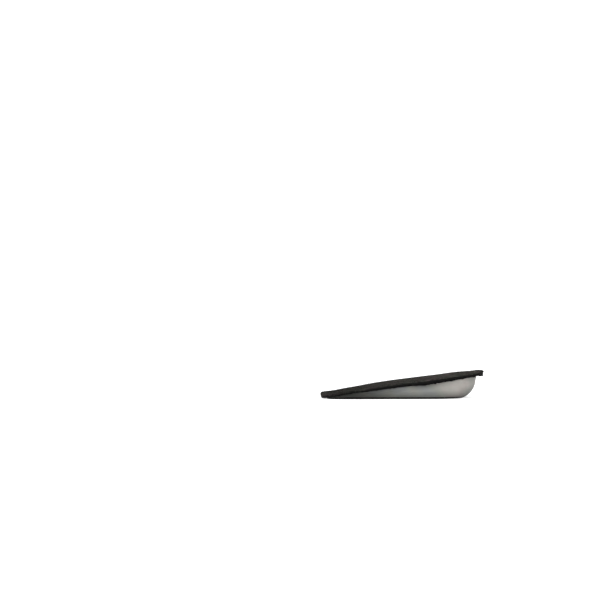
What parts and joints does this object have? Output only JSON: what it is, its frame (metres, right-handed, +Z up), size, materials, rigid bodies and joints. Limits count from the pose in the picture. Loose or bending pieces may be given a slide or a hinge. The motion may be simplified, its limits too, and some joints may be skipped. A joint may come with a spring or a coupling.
{
  "type": "height-increasing insole",
  "caption": "Half-length heel lift: a tapered, round-heeled gel wedge with a thin foam layer and a dished, napped fabric cover that overhangs it all round; lies on its flat base.",
  "frame": {"origin": "On the ground, under the centre of the insole's bounding box", "axes": "+X runs along the insole's length from the toe end to the heel end, +Z is up out of the flat base, +Y is across the width"},
  "size_m": [0.1099, 0.0664, 0.0182],
  "materials": {
    "fabric_cover": "matte brushed nap",
    "foam_layer": "matte fine-celled foam",
    "gel_wedge": "satin, slightly translucent"
  },
  "bodies": {
    "root": {"fabric_cover": "fabric_cover", "foam_layer": "foam_layer", "gel_wedge": "gel_wedge"}
  },
  "joints": []
}
